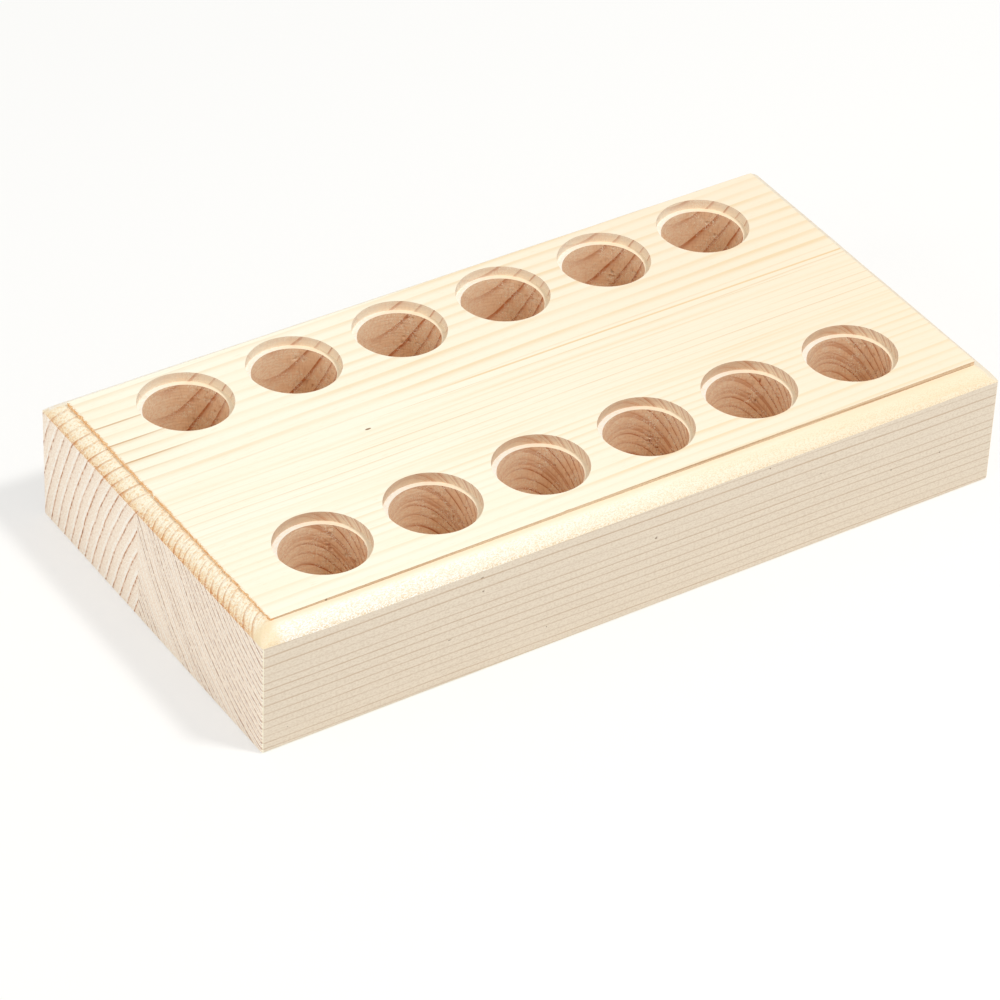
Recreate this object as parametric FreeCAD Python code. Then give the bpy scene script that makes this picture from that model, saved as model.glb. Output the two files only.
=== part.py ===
import FreeCAD, Part
import math
import os

# A holder block of softwood with two rows of round sockets in its top face.
# Two staves are glued edge to edge, the top edges are routed all round to a
# stepped round-over, and each socket is bored with a stepped cutter.
# All sizes are in millimetres. The origin is the middle of the underside,
# +X runs along the block, +Y towards its rear row and +Z up.

# The block as it is sawn
block_length = 150.0
block_width = 75.0
block_height = 25.0
sanded_radius = 0.5

# The two staves and the glue between them
front_stave_width = 41.4
glue_thickness = 0.15

# The routed top edge: an upright shoulder, then a round-over down to the side
shoulder_inset = 3.3
shoulder_depth = 0.6
round_over_radius = 3.4

# The sockets: where the two rows lie
sockets_per_row = 6
end_margin = 21.0
front_row_margin = 16.2
rear_row_margin = 13.2

# The sockets: the stepped bore, both depths taken from the top face
counterbore_diameter = 17.0
counterbore_depth = 1.9
bore_diameter = 15.0
bore_depth = 20.0

left = -block_length / 2
right = block_length / 2
front = -block_width / 2
rear = block_width / 2
top = block_height


def point(x, y, z):
    return FreeCAD.Vector(x, y, z)


def sawn_block():
    """The block before it is machined, its upright and lower edges sanded."""
    block = Part.makeBox(block_length, block_width, block_height, point(left, front, 0))
    sanded = []
    for edge in block.Edges:
        if edge.CenterOfMass.z < top:
            sanded.append(edge)
    return block.makeFillet(sanded_radius, sanded)


def edge_cutter(side_distance):
    """The wood that the router takes off one top edge.

    The edge runs along X at side_distance in front of the middle.
    """
    reach = block_length + block_width
    side = -side_distance
    shoulder = side + shoulder_inset
    arc_top = top - shoulder_depth
    centre_z = arc_top - round_over_radius
    turn = math.asin(min(1.0, shoulder_inset / round_over_radius))

    def on_arc(angle):
        y = shoulder - round_over_radius * math.sin(angle)
        z = centre_z + round_over_radius * math.cos(angle)
        return point(-reach, y, z)

    clear_of_side = on_arc(turn) - point(0, reach, 0)
    clear_of_top = point(-reach, side - reach, top + reach)
    above_shoulder = point(-reach, shoulder, top + reach)
    round_over = Part.Arc(on_arc(0), on_arc(turn / 2), on_arc(turn)).toShape()
    outline = Part.makePolygon([on_arc(turn), clear_of_side, clear_of_top, above_shoulder, on_arc(0)])
    profile = Part.Face(Part.Wire([round_over] + outline.Edges))
    return profile.extrude(point(2 * reach, 0, 0))


def rout_top_edges(block):
    """Routs the four top edges in turn, so that the passes meet in a mitre."""
    side_distances = [block_width / 2, block_length / 2] * 2
    for quarter_turns, side_distance in enumerate(side_distances):
        cutter = edge_cutter(side_distance)
        cutter.rotate(point(0, 0, 0), point(0, 0, 1), 90 * quarter_turns)
        block = block.cut(cutter)
    return block


def socket_cutter(x, y):
    """One stepped cutter at its full depth: a blind bore under a counterbore."""
    bore_floor = top - bore_depth
    ledge = top - counterbore_depth
    bore = Part.makeCylinder(bore_diameter / 2, bore_depth, point(x, y, bore_floor))
    counterbore = Part.makeCylinder(counterbore_diameter / 2, counterbore_depth, point(x, y, ledge))
    return bore.fuse(counterbore).removeSplitter()


def socket_centres():
    """The axes of both rows, evenly spaced between the end margins."""
    pitch = (block_length - 2 * end_margin) / (sockets_per_row - 1)
    centres = []
    for y in (front + front_row_margin, rear - rear_row_margin):
        for number in range(sockets_per_row):
            centres.append((left + end_margin + number * pitch, y))
    return centres


def bore_sockets(block):
    for x, y in socket_centres():
        block = block.cut(socket_cutter(x, y))
    return block


def slice_of(block, y_low, y_high):
    """The part of the machined block that lies between two upright planes."""
    slab = Part.makeBox(block_length, y_high - y_low, block_height, point(left, y_low, 0))
    return block.common(slab).removeSplitter()


def save(name, shape):
    solid = shape.Solids[0]
    solid.exportStep(f"parts/{name}.step")
    print(f"{name}: solids {len(shape.Solids)}, valid {solid.isValid()}, volume {solid.Volume:.1f}")


machined_block = bore_sockets(rout_top_edges(sawn_block()))
glue_front = front + front_stave_width
glue_rear = glue_front + glue_thickness

os.makedirs("parts", exist_ok=True)
save("front_stave", slice_of(machined_block, front, glue_front))
save("glue_line", slice_of(machined_block, glue_front, glue_rear))
save("rear_stave", slice_of(machined_block, glue_rear, rear))
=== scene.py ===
import math
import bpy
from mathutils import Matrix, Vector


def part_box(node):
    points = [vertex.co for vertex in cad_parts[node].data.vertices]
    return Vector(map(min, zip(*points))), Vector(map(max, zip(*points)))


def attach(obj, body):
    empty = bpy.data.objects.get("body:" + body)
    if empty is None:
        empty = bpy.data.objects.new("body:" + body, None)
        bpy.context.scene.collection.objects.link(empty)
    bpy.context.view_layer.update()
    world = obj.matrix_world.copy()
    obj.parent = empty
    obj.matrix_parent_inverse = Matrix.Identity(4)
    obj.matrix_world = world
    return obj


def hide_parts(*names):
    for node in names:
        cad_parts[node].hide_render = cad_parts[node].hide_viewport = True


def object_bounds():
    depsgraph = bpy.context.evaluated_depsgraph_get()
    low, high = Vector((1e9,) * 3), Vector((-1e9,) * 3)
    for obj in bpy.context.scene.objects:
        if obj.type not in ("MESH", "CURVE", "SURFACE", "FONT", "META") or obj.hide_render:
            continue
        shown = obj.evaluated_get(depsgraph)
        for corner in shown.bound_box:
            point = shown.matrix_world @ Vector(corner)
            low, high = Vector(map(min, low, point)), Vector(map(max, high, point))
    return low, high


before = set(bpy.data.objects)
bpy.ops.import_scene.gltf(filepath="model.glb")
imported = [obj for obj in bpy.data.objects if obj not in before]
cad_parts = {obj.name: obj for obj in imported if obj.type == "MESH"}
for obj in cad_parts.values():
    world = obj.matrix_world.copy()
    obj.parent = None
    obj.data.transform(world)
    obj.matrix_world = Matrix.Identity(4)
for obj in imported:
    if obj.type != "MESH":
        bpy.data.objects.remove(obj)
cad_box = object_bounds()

from types import SimpleNamespace

import bmesh
import bpy
import numpy as np
from mathutils import Matrix, Vector


# Front stave
# The front board of the two, narrow-ringed pine, bare and sanded. It is edge-glued to the rear
# stave, then both are machined as one block: a router runs round the top edges and leaves an
# upright shoulder over a round-over, and a stepped cutter bores six blind sockets in a row.
MM = 0.001
block_length, block_width, block_height = cad_box[1] - cad_box[0]
sawn_radius = 0.5 * MM
shoulder_inset = 3.3 * MM
round_over_start, round_over_end = math.radians(12), math.radians(62)

# The block's corners seen from above: sanded on the sides, turned in the round-over and
# sharp again where its passes meet in a mitre at the shoulder
upright_corner = 0.45 * MM
routed_corner, mitred_corner, shoulder_corner = 1.7 * MM, 0.25 * MM, 0.12 * MM

# How close the points of the outline stand along the sides and, to show torn fibres, the ends
along_side, along_end = 0.6 * MM, 0.25 * MM

# How deep the router's shoulder sits under the top face, and how far the round-over drops
# from it, all the way round from the front left corner: the block lay a little unevenly
# under the cutter. Stations, depths and drops are in millimetres.
stations = [0.0, 12.0, 60.0, 150.0, 190.0, 225.0, 300.0, 375.0, 410.0, 450.0]
shoulder_depths = [0.42, 0.52, 0.66, 0.84, 0.80, 0.72, 0.70, 0.68, 0.64, 0.42]
round_over_drops = [2.35, 2.70, 2.75, 2.65, 2.50, 2.40, 2.20, 1.95, 2.10, 2.35]

# How far the cuts stray from true: the shoulder's and the sides' slow waves, the fibres torn
# out of the shoulder at the left end and elsewhere, and its ragged line
shoulder_wave, side_wave = 0.03 * MM, 0.03 * MM
torn_at_end, torn_at_side = 0.5 * MM, 0.15 * MM
ragged_side, ragged_end = 0.015 * MM, 0.085 * MM


def wander(run, step, seed, round_trip):
    """A smooth random line along the edge, from -1 to 1, that closes on itself."""
    knots = max(4, int(round(round_trip / step)))
    heights = np.random.default_rng(seed).uniform(-1, 1, knots)
    place = np.asarray(run) / round_trip * knots
    low = np.floor(place).astype(int)
    share = place - low
    share = share * share * (3 - 2 * share)
    return heights[low % knots] * (1 - share) + heights[(low + 1) % knots] * share


def routed_profile():
    """Section through one machined edge, from the underside to the flat top.

    Each level is (name, distance in from the side, share, corner radius). The share says how
    high a level lies between the underside's rounding and the round-over's foot, how far down
    the round-over, or how high up the shoulder.
    """
    levels = []
    for turn in np.linspace(0, math.pi / 2, 6):
        inward = sawn_radius * (1 - math.sin(turn))
        levels.append(("underside", inward, 1 - math.cos(turn), upright_corner))
    for share in np.linspace(0, 1, 11)[1:-1]:
        levels.append(("side", 0.0, share, upright_corner))
    first, last = round_over_start, round_over_end
    for share in np.linspace(1, 0, 15):
        turn = first + (last - first) * share
        across = (math.sin(last) - math.sin(turn)) / (math.sin(last) - math.sin(first))
        down = (math.cos(first) - math.cos(turn)) / (math.cos(first) - math.cos(last))
        corner = mitred_corner + (routed_corner - mitred_corner) * share**0.5
        corner += (upright_corner - routed_corner) * max(0.0, share * 4 - 3)
        levels.append(("round-over", shoulder_inset * across, down, corner))
    for share in (0.3, 0.65, 0.9, 1.0):
        levels.append(("shoulder", shoulder_inset, share, shoulder_corner))
    return levels


def outline(inset, corner):
    """Points counter-clockwise round one level: (x, y, run along the edge, end-grain share)."""
    half_x, half_y = block_length / 2 - inset, block_width / 2 - inset
    corners = [(-half_x, -half_y), (half_x, -half_y), (half_x, half_y), (-half_x, half_y)]
    run_start = [0, block_length, block_length + block_width, 2 * block_length + block_width]
    points = []
    for side in range(4):
        start, end = np.array(corners[side]), np.array(corners[(side + 1) % 4])
        full = block_length if side % 2 == 0 else block_width
        way = (end - start) / np.linalg.norm(end - start)
        inward = np.array([-way[1], way[0]])
        first, last = start + way * corner, end - way * corner
        count = int(round(full / (along_side if side % 2 == 0 else along_end)))
        for share in np.linspace(0, 1, count):
            x, y = first + (last - first) * share
            points.append((x, y, run_start[side] + full * share, side % 2))
        pivot = last + inward * corner
        for turn in np.linspace(0, math.pi / 2, 8)[1:-1]:
            x, y = pivot + corner * (way * math.sin(turn) - inward * math.cos(turn))
            grain = turn / (math.pi / 2)
            points.append((x, y, run_start[side] + full, grain if side % 2 == 0 else 1 - grain))
    return np.array(points)


def machined_block():
    """The glued block with its routed edges, before the sockets are bored."""
    round_trip = 2 * (block_length + block_width)
    levels = routed_profile()
    rings = []
    for name, inset, share, corner in levels:
        x, y, run, end_grain = outline(inset, corner).T
        depth = np.interp(run / MM, stations, shoulder_depths) * MM
        depth += wander(run, 9 * MM, 3, round_trip) * shoulder_wave
        drop = np.interp(run / MM, stations, round_over_drops) * MM
        left_end = end_grain * (x < 0)
        chips = np.clip(wander(run, 0.8 * MM, 5, round_trip) - 0.2, 0, 1)
        chips *= np.clip(wander(run, 4.5 * MM, 6, round_trip) + 0.6, 0, 1)
        torn = chips * left_end * torn_at_end + chips**2 * (1 - left_end) * torn_at_side
        ragged = wander(run, 0.6 * MM, 7, round_trip) * (ragged_side + ragged_end * left_end)
        push = np.zeros_like(x)
        if name == "underside":
            z = np.full_like(x, sawn_radius * share)
        elif name == "side":
            z = sawn_radius + (block_height - depth - drop - sawn_radius) * share
            push += wander(run, 22 * MM, 11, round_trip) * side_wave + side_wave
        elif name == "round-over":
            near_step = np.clip((inset - 2.6 * MM) / (shoulder_inset - 2.6 * MM), 0, 1)
            z = block_height - depth - drop * share + ragged * near_step
        else:
            z = block_height - depth * (1 - share)
            push += ragged + torn * share**1.5
        side_x = np.abs(x) / (block_length / 2)
        side_y = np.abs(y) / (block_width / 2)
        in_x = np.where(side_x >= side_y, -np.sign(x), 0.0)
        in_y = np.where(side_x >= side_y, 0.0, -np.sign(y))
        rings.append(np.stack([x + in_x * push, y + in_y * push, z], 1))
    mesh = bmesh.new()
    rows = [[mesh.verts.new(point) for point in ring] for ring in rings]
    for lower, upper in zip(rows, rows[1:]):
        for place in range(len(lower)):
            after = (place + 1) % len(lower)
            mesh.faces.new((lower[place], lower[after], upper[after], upper[place]))
    mesh.faces.new(rows[-1])
    mesh.faces.new(reversed(rows[0]))
    bmesh.ops.recalc_face_normals(mesh, faces=mesh.faces)
    return mesh


def cut_from_block(name, y_low, y_high):
    """The part of the machined block between two upright planes, as an object."""
    mesh = machined_block()
    for place, facing in ((y_low, -1), (y_high, 1)):
        if abs(place) < block_width / 2 - 0.01 * MM:
            everything = mesh.verts[:] + mesh.edges[:] + mesh.faces[:]
            cut = bmesh.ops.bisect_plane(
                mesh,
                geom=everything,
                plane_co=(0, place, 0),
                plane_no=(0, facing, 0),
                clear_outer=True,
            )
            rim = [edge for edge in cut["geom_cut"] if isinstance(edge, bmesh.types.BMEdge)]
            bmesh.ops.edgenet_fill(mesh, edges=rim)
    bmesh.ops.recalc_face_normals(mesh, faces=mesh.faces)
    data = bpy.data.meshes.new(name)
    mesh.to_mesh(data)
    mesh.free()
    piece = bpy.data.objects.new(name, data)
    bpy.context.scene.collection.objects.link(piece)
    return piece


def shade(piece):
    """Smooth shading that keeps the cut edges crisp."""
    crisp_angle = math.radians(24)
    piece.data.shade_smooth()
    piece.data.set_sharp_from_angle(angle=crisp_angle)


class Field:
    """A value that varies over the wood. Python arithmetic on it adds Math nodes."""

    def __init__(self, tree, socket):
        self.tree, self.socket = tree, socket

    def of(self, output):
        """Another output of the same node."""
        return Field(self.tree, self.socket.node.outputs[output])

    def maths(self, operation, *others):
        values = dict(enumerate((self, *others)))
        return self.tree.node("ShaderNodeMath", {"operation": operation}, values)

    def __add__(self, other):
        return self.maths("ADD", other)

    __radd__ = __add__

    def __mul__(self, other):
        return self.maths("MULTIPLY", other)

    __rmul__ = __mul__

    def __sub__(self, other):
        return self.maths("SUBTRACT", other)

    def __rsub__(self, other):
        return (self * -1) + other

    def __truediv__(self, other):
        return self.maths("DIVIDE", other)

    def __pow__(self, other):
        return self.maths("POWER", other)

    def __abs__(self):
        return self.maths("ABSOLUTE")

    def floor(self):
        return self.maths("FLOOR")

    def limited(self):
        return self.maths("MAXIMUM", 0).maths("MINIMUM", 1)

    def rise(self, low, high):
        """0 below low and 1 above high, smooth between; low above high turns it round."""
        return self.tree.node(
            "ShaderNodeMapRange",
            {"interpolation_type": "SMOOTHSTEP"},
            {"Value": self, "From Min": low, "From Max": high},
        )


class Tree:
    """A node tree of a material or of Geometry Nodes while it is built."""

    def __init__(self, tree):
        self.tree = tree

    def node(self, kind, settings=None, inputs=None, output=0):
        """Adds one node: its settings first, then the values or links of its sockets."""
        made = self.tree.nodes.new(kind)
        for name, value in (settings or {}).items():
            setattr(made, name, value)
        for name, value in (inputs or {}).items():
            for each in value if isinstance(value, list) else [value]:
                if isinstance(each, Field):
                    self.tree.links.new(each.socket, made.inputs[name])
                else:
                    made.inputs[name].default_value = each
        return Field(self, made.outputs[output]) if made.outputs else made

    def join(self, x, y, z):
        return self.node("ShaderNodeCombineXYZ", {}, {"X": x, "Y": y, "Z": z})

    def parts(self, vector):
        split = self.node("ShaderNodeSeparateXYZ", {}, {"Vector": vector})
        return split, split.of("Y"), split.of("Z")

    def noise(self, place, detail, seed):
        """Smooth noise round 0.5, whose grains are about one unit of place in size."""
        return self.node(
            "ShaderNodeTexNoise",
            {"noise_dimensions": "4D"},
            {"Vector": place, "W": seed, "Scale": 1.0, "Detail": detail},
        )

    def mix(self, share, low, high, blend="MIX"):
        """A colour between two colours. A Mix node has its two colours on sockets 6 and 7."""
        return self.node(
            "ShaderNodeMix",
            {"data_type": "RGBA", "blend_type": blend},
            {"Factor": share, 6: low, 7: high},
            output=2,
        )

    def tint(self, share, colour, by):
        """The colour multiplied by another, as far as share says."""
        return self.mix(share, colour, by, "MULTIPLY")


def blank_tree(owner):
    """The emptied node tree of a material or of the world."""
    owner.use_nodes = True
    owner.node_tree.nodes.clear()
    return Tree(owner.node_tree)


def srgb(red, green, blue):
    """A colour as a paint chart gives it, 0 to 255, turned into light values."""
    light = [
        v / 12.92 if v <= 0.04045 else ((v + 0.055) / 1.055) ** 2.4
        for v in (red / 255, green / 255, blue / 255)
    ]
    return (*light, 1.0)


# The stepped cutter and where it goes
sockets_per_row = 6
end_margin = 21.0 * MM
socket_pitch = (block_length - 2 * end_margin) / (sockets_per_row - 1)
front_row_y = -block_width / 2 + 16.2 * MM
rear_row_y = block_width / 2 - 13.2 * MM
counterbore_radius = 8.5 * MM
counterbore_depth = 1.9 * MM
bore_radius = 7.5 * MM
bore_depth = 20.0 * MM
tear_out_depth = 0.45 * MM
top = block_height / MM


def boring_tree():
    """Geometry Nodes that bore a row of stepped sockets, with torn grain on their walls."""
    group = bpy.data.node_groups.new("bore_a_row", "GeometryNodeTree")
    wanted = [
        ("Stave", "NodeSocketGeometry"),
        ("Sockets", "NodeSocketInt"),
        ("First Centre", "NodeSocketVector"),
        ("Pitch", "NodeSocketFloat"),
        ("Counterbore Radius", "NodeSocketFloat"),
        ("Counterbore Depth", "NodeSocketFloat"),
        ("Bore Radius", "NodeSocketFloat"),
        ("Bore Depth", "NodeSocketFloat"),
        ("Tear-out Depth", "NodeSocketFloat"),
        ("Seed", "NodeSocketFloat"),
        ("Wood", "NodeSocketMaterial"),
    ]
    for name, kind in wanted:
        group.interface.new_socket(name, in_out="INPUT", socket_type=kind)
    group.interface.new_socket("Bored Stave", in_out="OUTPUT", socket_type="NodeSocketGeometry")
    tree = Tree(group)
    given = tree.node("NodeGroupInput")
    first, pitch = given.of("First Centre"), given.of("Pitch")
    overrun = 2 * MM
    facets = 176

    def cutters(radius, depth, overrun, rings):
        """One cutter over each socket, standing out of the wood by its overrun."""
        length = depth + overrun
        tool = tree.node(
            "GeometryNodeMeshCylinder",
            {"fill_type": "NGON"},
            {"Vertices": facets, "Side Segments": rings, "Radius": radius, "Depth": length},
        )
        down = tree.join(0, 0, (overrun - depth) * 0.5)
        tool = tree.node("GeometryNodeTransform", {}, {"Geometry": tool, "Translation": down})
        step = tree.join(pitch, 0, 0)
        row = tree.node(
            "GeometryNodeMeshLine",
            {"mode": "OFFSET"},
            {"Count": given.of("Sockets"), "Start Location": first, "Offset": step},
        )
        placed = tree.node("GeometryNodeInstanceOnPoints", {}, {"Points": row, "Instance": tool})
        return tree.node("GeometryNodeRealizeInstances", {}, {"Geometry": placed})

    bores = cutters(given.of("Bore Radius"), given.of("Bore Depth"), overrun, rings=56)
    wide, shallow = given.of("Counterbore Radius"), given.of("Counterbore Depth")
    counterbores = cutters(wide, shallow, overrun * 2, rings=8)

    # The cutter tears the grain where it meets the fibres end on and lifts them
    x, y, z = tree.parts(tree.node("GeometryNodeInputPosition"))
    first_x, first_y, _ = tree.parts(first)
    number = ((x - first_x) / pitch + 0.5).floor()
    out_x = (x - first_x - number * pitch) / given.of("Bore Radius")
    out_y = (y - first_y) / given.of("Bore Radius")
    against_grain = abs(out_x * 0.94 + out_y * 0.34).rise(0.66, 0.92)
    fibres = tree.join(x / (1.3 * MM), y / (0.55 * MM), z / (0.5 * MM))
    patches = tree.join(x / (5 * MM), y / (5 * MM), z / (4 * MM))
    pits = tree.noise(fibres, 1.5, given.of("Seed")).rise(0.57, 0.72)
    where = tree.noise(patches, 1.0, given.of("Seed")).rise(0.40, 0.56)
    ledge_height = block_height - counterbore_depth
    below_ledge = z.rise(ledge_height, ledge_height - 0.8 * MM)
    depth = pits * where * against_grain * below_ledge * given.of("Tear-out Depth")
    outwards = tree.join(out_x, out_y, 0)
    push = tree.node("ShaderNodeVectorMath", {"operation": "SCALE"}, {0: outwards, "Scale": depth})
    bores = tree.node("GeometryNodeSetPosition", {}, {"Geometry": bores, "Offset": push})

    bored = tree.node(
        "GeometryNodeMeshBoolean",
        {"operation": "DIFFERENCE", "solver": "MANIFOLD"},
        {"Mesh 1": given.of("Stave"), "Mesh 2": [bores, counterbores]},
    )
    bored = tree.node("GeometryNodeRealizeInstances", {}, {"Geometry": bored})
    bored = tree.node(
        "GeometryNodeSetMaterial", {}, {"Geometry": bored, "Material": given.of("Wood")}
    )
    tree.node("NodeGroupOutput", {}, {"Bored Stave": bored})
    return group


def bore(stave, row_y, seed, wood):
    """Bores one row of sockets in the stave and leaves it a plain mesh."""
    boring = stave.modifiers.new("boring", "NODES")
    boring.node_group = boring_row
    settings = {
        "Sockets": sockets_per_row,
        "First Centre": (-block_length / 2 + end_margin, row_y, block_height),
        "Pitch": socket_pitch,
        "Counterbore Radius": counterbore_radius,
        "Counterbore Depth": counterbore_depth,
        "Bore Radius": bore_radius,
        "Bore Depth": bore_depth,
        "Tear-out Depth": tear_out_depth,
        "Seed": seed,
        "Wood": wood,
    }
    for item in boring_row.interface.items_tree:
        if item.name in settings:
            boring[item.identifier] = settings[item.name]
    seen = bpy.context.evaluated_depsgraph_get()
    bored = bpy.data.meshes.new_from_object(stave.evaluated_get(seen))
    stave.modifiers.remove(boring)
    bored.name = stave.name
    stave.data = bored
    shade(stave)


class PineBoard:
    """The wood of one stave as a solid. Each method colours one kind of face.

    All lengths are in millimetres. growth holds:
    row_y - where the stave's row of sockets lies
    pith - the tree's centre in (y, z), and lean - how far the rings climb in y and z along x
    ring_width, and first_ring - the radius where a ring starts
    grouping, uneven - how much the rings vary in width and in darkness
    bold_rings - radii of single dark rings
    thread_rings - the radii between which the rings show as mere threads on the planed face
    plain_end - zones of pale end grain: (from radius, to radius, how pale)
    false_rings - how strong a second line is within each ring
    softness - how soft the rings' edges are on the planed face
    ring_orange, ring_brown - the rings' colour along the grain and across it
    counterbore_tone - the painted shade that the counterbores' walls are tinted with
    seed - start of all the noise
    """

    def __init__(self, tree, growth):
        self.tree, self.growth = tree, growth
        place = tree.node("ShaderNodeTexCoord", output="Object")
        self.x, self.y, self.z = [part / MM for part in tree.parts(place)]
        normal = tree.node("ShaderNodeNewGeometry", output="Normal")
        facing_x, facing_y, facing_z = [abs(part) for part in tree.parts(normal)]
        self.facing_x, self.facing_y, self.facing_z = facing_x, facing_y, facing_z
        self.faces_end = facing_x.rise(0.45, 0.85)
        self.faces_side = facing_y.rise(0.9, 0.98)
        self.faces_up = facing_z.rise(0.9, 0.97)
        self.along = self.x / (block_length / 2 / MM)
        self.from_end = block_length / 2 / MM - abs(self.x)
        self.from_side = block_width / 2 / MM - abs(self.y)
        self.left_half = self.x.rise(1, -1)
        self.grow_rings()
        self.grow_fibres()
        self.mark_cuts()

    def noise(self, size, detail, seed):
        """Noise whose grains have the given size in x, y and z; a size of 0 leaves that way out."""
        place = [
            way / grain if grain else 0 for way, grain in zip((self.x, self.y, self.z), size)
        ]
        return self.tree.noise(self.tree.join(*place), detail, self.growth.seed + seed)

    def paint(self, share, under, colour):
        """Lays a colour of the paint chart over what is under it, as far as share says."""
        under = srgb(*under) if isinstance(under, tuple) else under
        return self.tree.mix(share, under, srgb(*colour))

    def ring_line(self, start, full, fading, strength=1):
        """A dark line at the end of each ring: it starts, is full, and ends sharply."""
        return self.through.rise(start, full) * self.through.rise(1.0, fading) * strength

    def grow_rings(self):
        """Which ring of the tree each point lies in, how far through it, and its dark lines."""
        growth, tree = self.growth, self.tree
        tree_is_oval = 0.945
        sway = (self.noise((70, 0, 0), 1, 0) - 0.5) * 2.2
        self.ripple = self.noise((55, 5, 5), 2, 1) - 0.5
        pith_y, pith_z = growth.pith
        lean_y, lean_z = growth.lean
        across = (self.y - pith_y - self.x * lean_y + sway) / tree_is_oval
        upward = self.z - pith_z - self.x * lean_z
        self.radius = (across * across + upward * upward) ** 0.5 + self.ripple * 0.6
        bunching = tree.noise(tree.join(self.radius / 7, 0, 0), 1, growth.seed + 2) - 0.5
        ring = (self.radius - growth.first_ring) / growth.ring_width + bunching * growth.grouping
        number = ring.floor()
        self.through = ring - number
        self.vigour = tree.node(
            "ShaderNodeTexWhiteNoise", {"noise_dimensions": "1D"}, {"W": number + growth.seed}
        )
        self.darkness = self.vigour * growth.uneven + (1.1 - growth.uneven)
        late_wood = self.ring_line(0.55, 0.93, 0.955, self.darkness)
        for bold in growth.bold_rings:
            edge = self.radius - bold
            bold_line = edge.rise(-0.75, -0.05) * edge.rise(0.12, 0.0) * 1.15
            late_wood = late_wood.maths("MAXIMUM", bold_line)
        self.late_wood = late_wood.limited()
        half_ring = ring * 2 + 0.35
        through_half = half_ring - half_ring.floor()
        false_ring = through_half.rise(0.7, 0.93) * through_half.rise(1.0, 0.95)
        self.false_ring = false_ring * growth.false_rings
        sharp_line = self.ring_line(0.78, 0.93, 0.955, self.vigour * 0.5 + 0.65)
        sharp_line = sharp_line.maths("MAXIMUM", self.false_ring)
        self.sharp_line = sharp_line.maths("MAXIMUM", self.late_wood * 0.2)
        self.end_line = self.sharp_line
        for start, stop, share in growth.plain_end:
            plain = self.radius.rise(start, start + 1.0) * self.radius.rise(stop, stop - 1.0)
            self.end_line = self.end_line * (1 - plain * share)
        line_darkness = self.vigour * growth.uneven + (1.15 - growth.uneven)
        self.fine_line = self.ring_line(0.78, 0.93, 0.96, line_darkness)

    def grow_fibres(self):
        """The wood's fine structure: long fibres, beads along a ring, and crumbs of all sizes."""
        self.beads = self.noise((6, 0.55, 0.55), 2, 3)
        self.streaks = self.noise((26, 0.42, 0.42), 3, 4)
        self.broad = self.noise((60, 6, 6), 2, 5)
        self.speckle = self.noise((0.5, 0.28, 0.28), 2, 6)
        self.grit = self.noise((0.3, 0.16, 0.16), 1, 7)
        self.fuzz = self.noise((0.35, 0.22, 0.35), 2, 8)
        self.tangle = self.noise((0.5, 0.45, 0.5), 3, 12)

    def mark_cuts(self):
        """Where the router and the stepped cutter went."""
        x, y, z = self.x, self.y, self.z
        round_over = z.rise(top - 3.8, top - 3.7) * z.rise(top - 0.1, top - 0.3)
        self.round_over = round_over * self.facing_z.rise(0.2, 0.4)
        end_band = self.from_end.rise(3.5, 3.35) * self.facing_x.rise(0.03, 0.35)
        side_band = self.from_side.rise(3.5, 3.35) * self.facing_y.rise(0.03, 0.35)
        self.end_band, self.side_band = self.round_over * end_band, self.round_over * side_band

        pitch = socket_pitch / MM
        first_x = (-block_length / 2 + end_margin) / MM
        bore, counterbore = bore_radius / MM, counterbore_radius / MM
        ledge_height, floor_height = top - counterbore_depth / MM, top - bore_depth / MM
        number = ((x - first_x) / pitch + 0.5).floor()
        number = number.maths("MAXIMUM", 0).maths("MINIMUM", sockets_per_row - 1)
        out_x = x - first_x - number * pitch
        out_y = y - self.growth.row_y
        from_axis = (out_x * out_x + out_y * out_y) ** 0.5
        in_socket = from_axis.rise(counterbore + 0.25, counterbore + 0.05)
        under_ledge = z.rise(ledge_height - 0.01, ledge_height - 0.04)
        bored_face = from_axis.rise(counterbore - 0.2, counterbore - 0.08)
        bored_face = bored_face.maths("MAXIMUM", under_ledge)
        above_floor = z.rise(floor_height + 0.02, floor_height + 0.1)
        self.wall = in_socket * bored_face * above_floor * z.rise(top - 0.001, top - 0.03)
        ledge = z.rise(top - 4, top - 3.5) * z.rise(top - 1.0, top - 1.4)
        self.ledge = in_socket * self.faces_up * ledge
        self.in_bore = z.rise(ledge_height, ledge_height - 0.1)
        self.in_counterbore = z.rise(ledge_height - 0.1, ledge_height)
        self.end_on = (out_x / bore).rise(-0.5, 0.8)
        # Where painted highlights go on the counterbores' walls, on their lit left and right sides
        self.lit_left_wall = (out_x / counterbore).rise(0.6, -0.9)
        self.lit_right_wall = (out_x / counterbore).rise(0.5, 0.95)

    def planed_top(self):
        """Long grain: cream wood, darker and yellower to the right as a painted falloff of the
        light, with soft orange latewood.
        """
        growth, x, y, streaks = self.growth, self.x, self.y, self.streaks
        cream = self.paint(self.broad.rise(0.3, 0.7), (254, 250, 229), (253, 246, 221))
        # Painted shade: the cream darkens and yellows towards the right end, standing in for the
        # light falling off
        cream = self.paint(self.along.rise(-0.7, 0.9), cream, (250, 235, 208))
        cream = self.paint(streaks.rise(0.52, 0.75) * 0.3, cream, (249, 236, 206))
        dashes = self.noise((2.4, 0.17, 0.17), 1, 14).rise(0.6, 0.74)
        cream = self.paint(dashes * 0.35, cream, (240, 216, 178))

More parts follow.
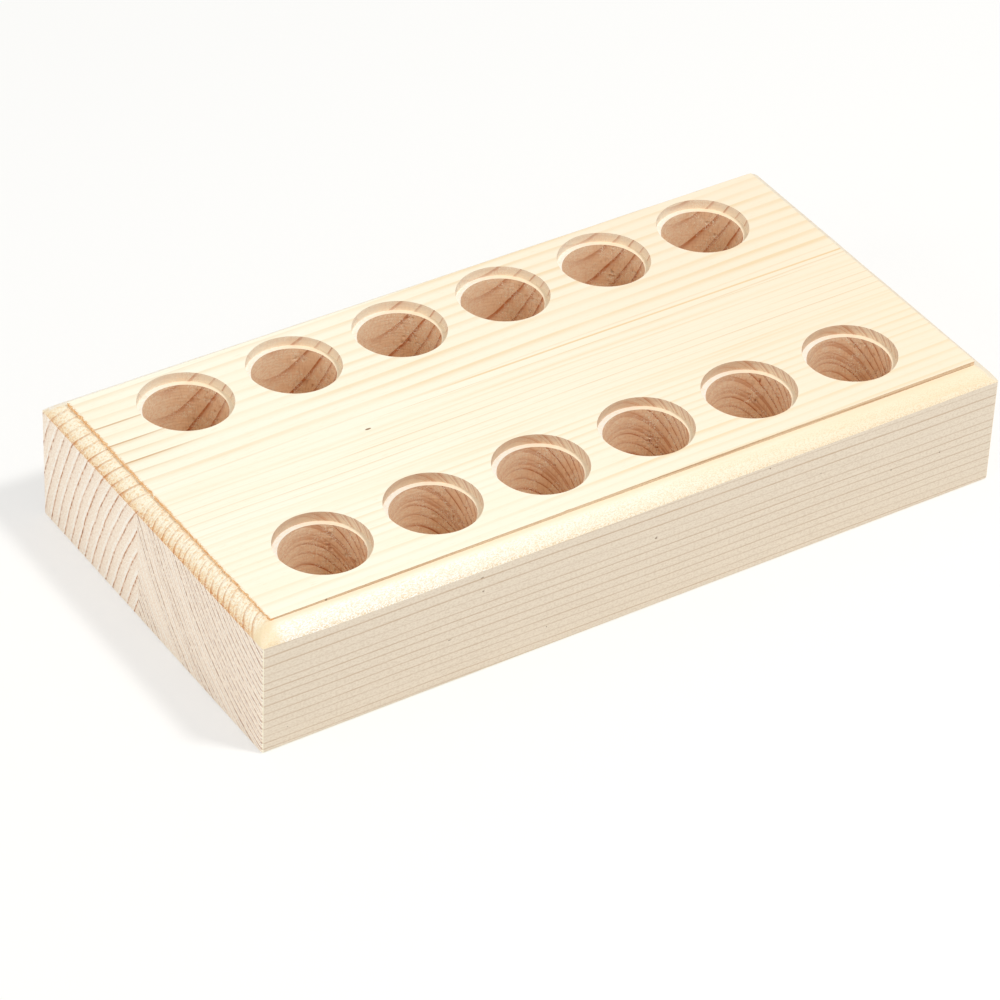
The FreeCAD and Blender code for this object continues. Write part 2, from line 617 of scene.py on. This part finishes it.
        soft_band = self.ring_line(0.35, 0.8, 0.86, self.darkness)
        bands = self.late_wood * (1 - growth.softness) + soft_band * growth.softness
        first, last = growth.thread_rings
        threads_here = self.radius.rise(first, first + 1.5) * self.radius.rise(last, last - 1.5)
        thread = self.ring_line(0.8, 0.93, 0.96, self.vigour * 0.7 + 0.4)
        threads = thread.maths("MAXIMUM", self.false_ring * 0.5) * 0.75
        bands = bands * (1 - threads_here) + threads * threads_here
        patchy = self.noise((34, 7, 0), 2, 9).rise(0.32, 0.68) * 0.7 + 0.42
        stronger_right = self.along.rise(-1.1, 0.8) * 0.5 + 0.55
        bands = (bands * patchy * stronger_right * (0.6 + streaks * 0.8)).limited()
        wood = self.paint(bands, cream, growth.ring_orange)

        # Crisp brown lines at the left end behind the glue line, and between the rear sockets
        left_end = x.rise(-52, -69) * y.rise(8, 9)
        between_sockets = x.rise(-8, -45) * y.rise(27.5, 30) * 0.7
        crisp_here = left_end.maths("MAXIMUM", between_sockets)
        crisp = self.vigour.rise(0.3, 0.75) * 0.85 + 0.15
        crisp = self.sharp_line * crisp_here * crisp * streaks.rise(0.3, 0.5) * 0.8
        wood = self.paint(crisp, wood, (206, 160, 110))

        # One resinous ring that runs close to the glue line, and the threads' own brown
        resin_line = abs(y - 5.75 - x * 0.003 - self.ripple * 0.5).rise(0.32, 0.06)
        resin_line = resin_line * x.rise(-26, -4) * (0.3 + streaks * 0.7)
        wood = self.paint(resin_line, wood, (234, 192, 128))
        thread = thread * threads_here * streaks.rise(0.3, 0.6) * 0.45
        return self.paint(thread, wood, (224, 190, 148))

    def sawn_side(self):
        """The long sides: greyer wood, thin straight brown lines and a few dark specks."""
        wood = self.paint(self.streaks.rise(0.4, 0.7) * 0.35, (230, 217, 198), (220, 204, 184))
        wood = self.paint(self.speckle.rise(0.44, 0.62) * 0.5, wood, (210, 192, 170))
        line = (self.fine_line * (0.3 + self.beads * 0.8)).limited()
        wood = self.paint(line, wood, (190, 160, 128))
        specks = self.noise((1.1, 0.9, 0.9), 0, 11).rise(0.84, 0.87)
        return self.paint(specks * 0.7, wood, (120, 92, 68))

    def end_face(self):
        """End grain: pinkish, its latewood brown and beaded, with a pale edge after each line."""
        wood = self.paint(self.speckle.rise(0.36, 0.64), (254, 244, 229), (237, 217, 196))
        wood = self.paint(self.grit.rise(0.54, 0.7) * 0.45, wood, (228, 202, 176))
        pale_edge = self.through.rise(0.0, 0.06) * self.through.rise(0.34, 0.14)
        wood = self.paint(pale_edge * self.beads.rise(0.35, 0.55) * 0.6, wood, (255, 253, 246))
        brown = self.paint(self.beads.rise(0.5, 0.7), self.growth.ring_brown, (150, 94, 62))
        line = self.end_line * (self.beads.rise(0.33, 0.62) * 0.95 + 0.2)
        return self.tree.mix(line.limited(), wood, brown)

    def routed_end(self, wood):
        """The ends' round-over: rubbed cream, thin orange rings, gritty towards its foot, with
        painted warm shade beside the step.
        """
        from_end, from_side = self.from_end, self.from_side
        grit, fuzz, tangle, vigour = self.grit, self.fuzz, self.tangle, self.vigour
        foot = self.z.rise(top - 0.9, top - 2.9)
        rear_corner = from_side.rise(0.2, 2.2) * self.y.rise(-1, 1)
        off_corner = from_side.rise(0.8, 6.0).maths("MAXIMUM", rear_corner)

        warm_foot = (foot * (0.4 + fuzz) * off_corner).limited()
        rubbed = self.paint(warm_foot, (254, 247, 222), (248, 218, 172))
        line = self.ring_line(0.76, 0.93, 0.96, vigour * 0.6 + 0.5)
        line = line.maths("MAXIMUM", self.false_ring * 0.6) * self.beads.rise(0.15, 0.55)
        line = (line * (0.65 + foot * 0.6)).limited() * off_corner
        rubbed = self.paint(line, rubbed, (198, 132, 76))
        # Painted shade: a warm orange tint beside the step's foot, standing in for bounce light in
        # the step's shadow
        near_step = from_end.rise(2.5, 3.2) * fuzz.rise(0.35, 0.6) * 0.8
        rubbed = self.paint(near_step, rubbed, (236, 188, 128))
        bars = self.ring_line(0.6, 0.85, 0.95, vigour.rise(0.35, 0.6) * 0.7 + 0.3) * foot * foot
        rubbed = self.paint(bars * off_corner * 0.85, rubbed, (204, 128, 74))
        rubbed = self.paint(tangle.rise(0.5, 0.64) * off_corner * 0.6, rubbed, (238, 192, 134))
        rubbed = self.paint(tangle.rise(0.46, 0.36) * off_corner * 0.5, rubbed, (255, 250, 232))
        rubbed = self.paint(grit.rise(0.52, 0.68) * 0.4, rubbed, (226, 176, 116))
        foot_grit = (foot * 0.3 + from_end.rise(0.55, 0.1) * 0.8) * grit.rise(0.48, 0.64)
        rubbed = self.paint((foot_grit * off_corner).limited(), rubbed, (204, 134, 76))
        return self.tree.mix(self.end_band, wood, rubbed)

    def routed_side(self, wood):
        """The sides' round-over: smooth and yellow near the step, with white fuzz and a painted
        highlight that grow further left.
        """
        from_side, side_band, grit = self.from_side, self.side_band, self.grit
        towards_left = self.along.rise(1.2, -1.0)
        near_step = from_side.rise(2.2, 3.3)
        wood = self.paint(side_band * (near_step * 0.4 + 0.4), wood, (246, 227, 194))
        # Painted highlight: white glints over lifted fibres on the round-over's lower part,
        # strongest towards the left end
        fibres_and_painted_glint = from_side.rise(2.9, 1.6) * self.speckle.rise(0.36, 0.56)
        fibres_and_painted_glint = fibres_and_painted_glint * (towards_left * towards_left * 0.9)
        wood = self.paint(side_band * fibres_and_painted_glint, wood, (255, 255, 250))
        fuzzy_gaps = grit.rise(0.47, 0.62) * from_side.rise(2.8, 1.2) * 0.55
        wood = self.paint(side_band * fuzzy_gaps, wood, (234, 206, 164))
        corner = from_side.rise(5.0, 2.5) * self.from_end.rise(5.0, 2.5) * self.x.rise(0, -1)
        corner = corner * self.round_over * (self.y.rise(1, -1) * 0.6 + 0.15)
        wood = self.paint(corner, wood, (244, 220, 176))
        # Painted shade with grit: the round-over darkens at its foot, where it meets the side in a
        # crease
        crease_grit_and_shade = side_band * from_side.rise(0.5, 0.1) * grit.rise(0.45, 0.6) * 0.6
        return self.paint(crease_grit_and_shade, wood, (226, 200, 160))

    def shoulder(self, wood):
        """The upright step: torn orange fibres on the left end, a clean cut elsewhere, whose riser
        along the sides is tinted darker, partly burnish and partly painted shade.
        """
        z, from_end, fuzz = self.z, self.from_end, self.fuzz
        riser = (1 - self.facing_z).rise(0.3, 0.6) * z.rise(top - 1.15, top - 0.9)
        torn = self.paint(fuzz.rise(0.4, 0.6), (222, 160, 102), (252, 216, 166))
        torn = self.tree.mix(self.left_half, srgb(238, 220, 196), torn)
        wood = self.tree.mix(riser * from_end.rise(4.2, 3.9), wood, torn)
        rim = self.faces_up * z.rise(top - 0.1, top - 0.02) * from_end.rise(3.75, 3.3)
        crumbs = rim * fuzz.rise(0.42, 0.6) * self.left_half * 0.85
        wood = self.paint(crumbs, wood, (228, 176, 120))
        right_band = self.end_band * (1 - self.left_half)
        wood = self.paint(right_band * 0.7, wood, (230, 218, 198))
        # Painted shade with burnish: the riser along the sides is tinted darker, as in the step's
        # crevice
        side_riser_burnish_and_shade = riser * self.from_side.rise(4.2, 3.9) * (1 - self.faces_end)
        cut = self.paint(self.streaks.rise(0.35, 0.65), (236, 212, 188), (255, 240, 220))
        return self.tree.tint(side_riser_burnish_and_shade, wood, cut)

    def sockets(self, wood):
        """Bored walls and ledges: darker, most where the cutter met the fibres end on, with painted
        light and shade on the counterbores' walls and the ledges.
        """
        end_on, in_counterbore = self.end_on, self.in_counterbore
        grit, speckle = self.grit, self.speckle
        bored = self.paint(speckle.rise(0.35, 0.65), (253, 234, 206), (242, 208, 173))
        bored = self.paint(end_on, bored, (246, 208, 170))
        wide_line = self.late_wood * (0.16 + end_on * 0.42) * (self.in_bore * 0.6 + 0.4)
        line = wide_line + self.fine_line * end_on * 0.6
        bored = self.paint(line.limited(), bored, (196, 118, 72))
        tufts = self.noise((2.5, 2.5, 2.0), 1, 10).rise(0.4, 0.56)
        lifted = grit.rise(0.5, 0.62) * (end_on * 0.9 + 0.1) * tufts
        bored = self.paint(lifted * 0.9, bored, (255, 246, 224))
        cut_ends = self.noise((0.3, 0.3, 1.2), 2, 13).rise(0.5, 0.66)
        bored = self.paint(cut_ends * end_on * 0.5, bored, (222, 172, 130))

        # The counterbore's wall carries painted light: paler overall as painted bounce light, with
        # painted highlights on its lit left and right sides and painted shade from its tint. Its
        # rings are cut cleanly
        bored = self.paint(in_counterbore * self.lit_left_wall * 0.5, bored, (255, 246, 228))
        bored = self.paint(in_counterbore * 0.45, bored, (252, 238, 222))
        bored = self.tree.tint(in_counterbore, bored, srgb(*self.growth.counterbore_tone))
        bored = self.paint(in_counterbore * self.lit_right_wall * 0.65, bored, (255, 240, 214))
        rings = (self.end_line * (0.25 + end_on * 0.75) * (0.4 + self.beads)).limited()
        bored = self.paint(in_counterbore * rings * 0.65, bored, (196, 124, 78))
        wood = self.tree.mix(self.wall, wood, bored)

        # The ledges: near white, with painted orange bounce light on their right side, which lies
        # in the counterbore wall's shadow
        cut = self.paint(end_on, (255, 253, 245), (254, 236, 206))
        cut = self.paint(speckle.rise(0.45, 0.65) * 0.45, cut, (250, 230, 200))
        return self.tree.mix(self.ledge * 0.8, wood, cut)

    def fleck(self, wood):
        """One small brown fleck on the top, near the glue line."""
        centre_x, centre_y, half_length, half_width = -31, 1.9, 0.6, 0.22
        away = ((self.x - centre_x) / half_length) ** 2 + ((self.y - centre_y) / half_width) ** 2
        return self.paint(away.rise(1.3, 0.5) * self.faces_up, wood, (150, 116, 84))

    def relief(self):
        """Fibres, open pores on the end grain, fuzz on the round-over, marks down the sockets."""
        fibres = (self.streaks - 0.5) * (1 - self.faces_end) * 0.02
        pores = (self.speckle - 0.5) * self.faces_end * 0.05
        cutter_marks = (self.z * 9 + self.speckle).maths("SINE") * self.wall * 0.008
        fuzz = (self.speckle - 0.5) * self.round_over * 0.06
        torn = (self.tangle - 0.5) * self.end_band * 0.12
        height = fibres + pores + cutter_marks + fuzz + torn - self.late_wood * 0.006
        return self.tree.node(
            "ShaderNodeBump", {}, {"Strength": 1.0, "Distance": MM, "Height": height}
        )


def pine(name, **growth):
    """Bare pine for every face of one stave; PineBoard says what growth holds."""
    material = bpy.data.materials.new(name)
    tree = blank_tree(material)
    board = PineBoard(tree, SimpleNamespace(**growth))
    wood = tree.mix(board.faces_side, board.planed_top(), board.sawn_side())
    wood = tree.mix(board.faces_end, wood, board.end_face())
    cuts = (board.routed_end, board.routed_side, board.shoulder, board.sockets)
    for painted in (*cuts, board.fleck):
        wood = painted(wood)
    rough = 0.62 - board.late_wood * 0.1 + board.faces_end * 0.1 - board.side_band * 0.16
    inputs = {"Base Color": wood, "Roughness": rough, "Normal": board.relief()}
    surface = tree.node(
        "ShaderNodeBsdfPrincipled", {}, {**inputs, "Specular IOR Level": 0.35}
    )
    tree.node("ShaderNodeOutputMaterial", {}, {"Surface": surface})
    return material


boring_row = boring_tree()
front_pine = pine(
    "front_stave_pine",
    row_y=front_row_y / MM,
    pith=(-55.0, 55.8),
    ring_width=1.5,
    first_ring=41.1,
    lean=(0.0, -0.010),
    grouping=1.6,
    uneven=0.75,
    bold_rings=(55.0, 56.7, 67.6, 78.6),
    thread_rings=(57.3, 67.0),
    plain_end=((60.6, 64.4, 0.55), (68.3, 71.0, 0.55), (72.8, 77.8, 0.85)),
    false_rings=0.7,
    softness=0.35,
    ring_orange=(244, 222, 184),
    ring_brown=(160, 114, 78),
    counterbore_tone=(228, 217, 204),
    seed=3.0,
)
parting_front, parting_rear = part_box("glue_line")[0].y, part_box("glue_line")[1].y
front_stave = cut_from_block("front_stave_wood", -block_width / 2, parting_front)
bore(front_stave, front_row_y, 3.0, front_pine)
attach(front_stave, "root")
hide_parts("front_stave")


# Rear stave
# The rear board, from another part of the tree: wide rings round a pith under the front stave,
# so they stand steeply in its end. It is glued, routed and bored with the front one.
rear_pine = pine(
    "rear_stave_pine",
    row_y=rear_row_y / MM,
    pith=(-62.0, -30.0),
    ring_width=2.46,
    first_ring=78.95,
    lean=(0.018, 0.0),
    grouping=0.2,
    uneven=0.4,
    bold_rings=(),
    thread_rings=(60.0, 92.2),
    plain_end=(),
    false_rings=0.0,
    softness=0.6,
    ring_orange=(243, 218, 178),
    ring_brown=(194, 134, 88),
    counterbore_tone=(250, 252, 249),
    seed=8.0,
)
rear_stave = cut_from_block("rear_stave_wood", parting_rear, block_width / 2)
bore(rear_stave, rear_row_y, 8.0, rear_pine)
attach(rear_stave, "root")
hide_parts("rear_stave")


# Glue line
# A film of hardened wood glue 0.15 mm thick between the staves. It is planed, routed and sanded
# with them, so it shows only as a fine line across the top, the underside and the two ends.
glue = bpy.data.materials.new("hardened_glue")
glue_tree = blank_tree(glue)
glue_x, _, glue_z = glue_tree.parts(glue_tree.node("ShaderNodeTexCoord", output="Object"))
filled = glue_tree.noise(glue_tree.join(glue_x / (9 * MM), 0, glue_z / (6 * MM)), 3, 4.0)
thick, thickest = srgb(247, 230, 200), srgb(236, 212, 174)
as_the_top, as_the_end_grain = srgb(253, 247, 222), srgb(240, 222, 200)
on_left_end = (glue_x / MM).rise(-74, -74.8)
squeezed_thin = glue_tree.mix(on_left_end, as_the_top, as_the_end_grain)
glue_colour = glue_tree.mix(filled.rise(0.35, 0.65), thick, thickest)
glue_colour = glue_tree.mix((glue_x / MM).rise(-34, -16), squeezed_thin, glue_colour)
glue_surface = glue_tree.node(
    "ShaderNodeBsdfPrincipled", {}, {"Base Color": glue_colour, "Roughness": 0.45 + filled * 0.2}
)
glue_tree.node("ShaderNodeOutputMaterial", {}, {"Surface": glue_surface})
glue_line = cut_from_block("glue_film", parting_front, parting_rear)
glue_line.data.materials.append(glue)
shade(glue_line)
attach(glue_line, "root")
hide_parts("glue_line")


# Floor, lamps and camera
# A white bench in an evenly white room, with a small lamp above the front right and a wide
# soft one on the left, seen by a long lens from the block's front left.
def seen_by_eye(tree):
    """1 where the camera looks directly, in a mirror or through glass."""
    rays = tree.node("ShaderNodeLightPath")
    return (rays + rays.of("Is Glossy Ray") + rays.of("Is Transmission Ray")).limited()


def bench_white():
    """A matt white top; looked at directly it is lifted towards white and keeps its shadow."""
    lift = 0.45
    material = bpy.data.materials.new("bench_white")
    tree = blank_tree(material)
    matt = tree.node("ShaderNodeBsdfDiffuse", {}, {"Color": srgb(252, 251, 247)})
    white = tree.node("ShaderNodeEmission", {}, {"Color": (1, 1, 1, 1), "Strength": 1.0})
    surface = tree.node("ShaderNodeMixShader", {}, {0: seen_by_eye(tree) * lift, 1: matt, 2: white})
    tree.node("ShaderNodeOutputMaterial", {}, {"Surface": surface})
    return material


floor_size = 3.0
floor_mesh = bpy.data.meshes.new("bench_top")
corners = [(-1, -1), (1, -1), (1, 1), (-1, 1)]
floor_points = [(floor_size * a, floor_size * b, 0) for a, b in corners]
floor_mesh.from_pydata(floor_points, [], [(0, 1, 2, 3)])
floor = bpy.data.objects.new("bench_top", floor_mesh)
bpy.context.scene.collection.objects.link(floor)
floor_mesh.materials.append(bench_white())

world = bpy.data.worlds.new("white_room")
bpy.context.scene.world = world
room = blank_tree(world)
room_light = 0.62
soft_light = room.node("ShaderNodeBackground", {}, {"Color": (1, 1, 1, 1), "Strength": room_light})
white = room.node("ShaderNodeBackground", {}, {"Color": (1, 1, 1, 1), "Strength": 1.0})
sky = room.node("ShaderNodeMixShader", {}, {0: seen_by_eye(room), 1: soft_light, 2: white})
room.node("ShaderNodeOutputWorld", {}, {"Surface": sky})


def soft_box(name, place, size, power):
    """A square lamp that looks at the block."""
    lamp = bpy.data.lights.new(name, "AREA")
    lamp.shape, lamp.size, lamp.energy = "SQUARE", size, power
    holder = bpy.data.objects.new(name, lamp)
    holder.location = place
    holder.rotation_euler = (-Vector(place)).to_track_quat("-Z", "Y").to_euler()
    bpy.context.scene.collection.objects.link(holder)


soft_box("key", place=(0.25, -0.39, 0.88), size=0.14, power=4.2)
soft_box("left_fill", place=(-1.15, -0.1, 0.35), size=1.0, power=3.6)

camera_turn, camera_height = math.radians(-34.254), math.radians(37.445)
camera_tilt = math.radians(2.581)
camera_distance, slide_right, slide_up = 836.780 * MM, 4.105 * MM, 10.657 * MM
focal_in_picture_widths = 4.778991
back = Vector(
    (
        math.sin(camera_turn) * math.cos(camera_height),
        -math.cos(camera_turn) * math.cos(camera_height),
        math.sin(camera_height),
    )
)
level_right = (-back).cross(Vector((0, 0, 1))).normalized()
level_up = level_right.cross(-back)
right = level_right * math.cos(camera_tilt) + level_up * math.sin(camera_tilt)
up = -level_right * math.sin(camera_tilt) + level_up * math.cos(camera_tilt)
lens = bpy.data.cameras.new("long_lens")
lens.sensor_width = 36
lens.lens = focal_in_picture_widths * lens.sensor_width
lens.clip_start, lens.clip_end = 0.05, 20
camera = bpy.data.objects.new("long_lens", lens)
turned = Matrix((right, up, back)).transposed().to_4x4()
block_centre = Vector((0, 0, block_height / 2))
turned.translation = block_centre + back * camera_distance - right * slide_right - up * slide_up
camera.matrix_world = turned
bpy.context.scene.collection.objects.link(camera)
bpy.context.scene.camera = camera
bpy.context.scene.view_settings.view_transform = "Standard"
